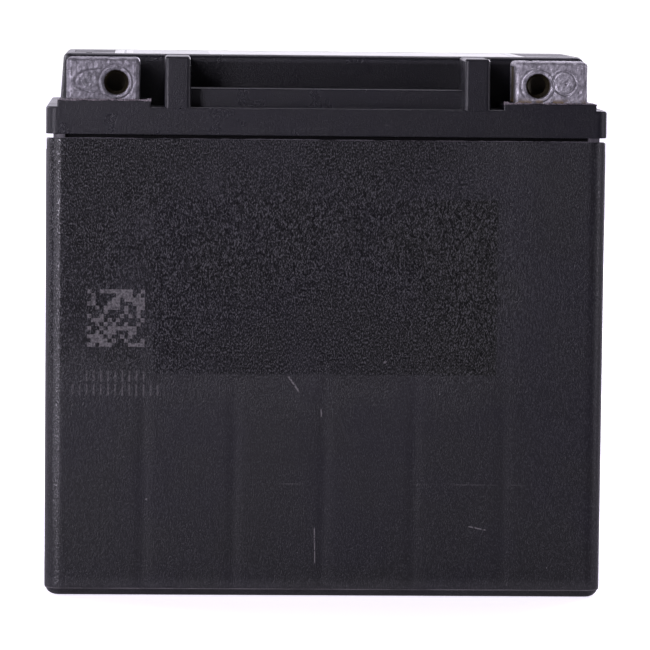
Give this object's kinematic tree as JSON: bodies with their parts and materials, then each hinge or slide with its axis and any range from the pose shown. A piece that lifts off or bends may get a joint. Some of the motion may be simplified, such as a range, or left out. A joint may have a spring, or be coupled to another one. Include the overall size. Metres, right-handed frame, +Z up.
{
  "type": "motorcycle battery",
  "caption": "Sealed lead-acid motorcycle battery: black grained case, stepped lid with bolt-on lead terminals at the front corners, flush valve cover, and plate groups inside.",
  "frame": {"origin": "middle of the flat underside, at the middle of the width and the depth", "axes": "+X to the right seen from the terminal side, +Y from the terminal side to the back, +Z up"},
  "size_m": [0.15, 0.087, 0.145],
  "materials": {
    "case_plastic": "matte, moulded leather-like grain",
    "lid_plastic": "matte, fine grain",
    "cover_plastic": "matte, fine grain",
    "valve_rubber": "matte",
    "seal_rubber": "matte",
    "filter_white": "porous",
    "label_film": "satin, blank",
    "terminal_lead": "cast, scuffed lead",
    "cast_lead": "cast lead",
    "nut_steel": "zinc plated",
    "sealing_resin": "gloss",
    "positive_plate": "matte, brown pasted plate",
    "negative_plate": "matte, grey pasted plate",
    "glass_mat": "matte fibre mat"
  },
  "bodies": {
    "battery": {"case": "case_plastic", "lid": "lid_plastic", "valve_cover": "cover_plastic", "gas_filters": "filter_white", "top_label": "label_film", "positive_terminal": "terminal_lead", "positive_post": "cast_lead", "positive_post_seal": "seal_rubber", "positive_sealing_resin": "sealing_resin", "negative_terminal": "terminal_lead", "negative_post": "cast_lead", "negative_post_seal": "seal_rubber", "negative_sealing_resin": "sealing_resin", "cell_1_positive_plates": "positive_plate", "cell_1_negative_plates": "negative_plate", "cell_1_separators": "glass_mat", "cell_1_positive_strap": "cast_lead", "cell_1_negative_strap": "cast_lead", "cell_2_positive_plates": "positive_plate", "cell_2_negative_plates": "negative_plate", "cell_2_separators": "glass_mat", "cell_2_positive_strap": "cast_lead", "cell_2_negative_strap": "cast_lead", "cell_3_positive_plates": "positive_plate", "cell_3_negative_plates": "negative_plate", "cell_3_separators": "glass_mat", "cell_3_positive_strap": "cast_lead", "cell_3_negative_strap": "cast_lead", "cell_4_positive_plates": "positive_plate", "cell_4_negative_plates": "negative_plate", "cell_4_separators": "glass_mat", "cell_4_positive_strap": "cast_lead", "cell_4_negative_strap": "cast_lead", "cell_5_positive_plates": "positive_plate", "cell_5_negative_plates": "negative_plate", "cell_5_separators": "glass_mat", "cell_5_positive_strap": "cast_lead", "cell_5_negative_strap": "cast_lead", "cell_6_positive_plates": "positive_plate", "cell_6_negative_plates": "negative_plate", "cell_6_separators": "glass_mat", "cell_6_positive_strap": "cast_lead", "cell_6_negative_strap": "cast_lead", "intercell_welds": "cast_lead"},
    "valve_1": {"safety_valve_1": "valve_rubber"},
    "valve_2": {"safety_valve_2": "valve_rubber"},
    "valve_3": {"safety_valve_3": "valve_rubber"},
    "valve_4": {"safety_valve_4": "valve_rubber"},
    "valve_5": {"safety_valve_5": "valve_rubber"},
    "valve_6": {"safety_valve_6": "valve_rubber"},
    "positive_nut": {"positive_terminal_nut": "nut_steel"},
    "negative_nut": {"negative_terminal_nut": "nut_steel"}
  },
  "joints": [
    {"name": "valve_1_lift", "type": "slide", "parent": "battery", "child": "valve_1", "axis": [0, 0, 1], "range_m": [0, 0.0006], "stiffness_N_per_m": 500},
    {"name": "valve_2_lift", "type": "slide", "parent": "battery", "child": "valve_2", "axis": [0, 0, 1], "range_m": [0, 0.0006], "stiffness_N_per_m": 500},
    {"name": "valve_3_lift", "type": "slide", "parent": "battery", "child": "valve_3", "axis": [0, 0, 1], "range_m": [0, 0.0006], "stiffness_N_per_m": 500},
    {"name": "valve_4_lift", "type": "slide", "parent": "battery", "child": "valve_4", "axis": [0, 0, 1], "range_m": [0, 0.0006], "stiffness_N_per_m": 500},
    {"name": "valve_5_lift", "type": "slide", "parent": "battery", "child": "valve_5", "axis": [0, 0, 1], "range_m": [0, 0.0006], "stiffness_N_per_m": 500},
    {"name": "valve_6_lift", "type": "slide", "parent": "battery", "child": "valve_6", "axis": [0, 0, 1], "range_m": [0, 0.0006], "stiffness_N_per_m": 500},
    {"name": "positive_nut_slide", "type": "slide", "parent": "battery", "child": "positive_nut", "axis": [1, 0, 0], "range_m": [0, 0.0075]},
    {"name": "negative_nut_slide", "type": "slide", "parent": "battery", "child": "negative_nut", "axis": [-1, 0, 0], "range_m": [0, 0.0075]}
  ]
}
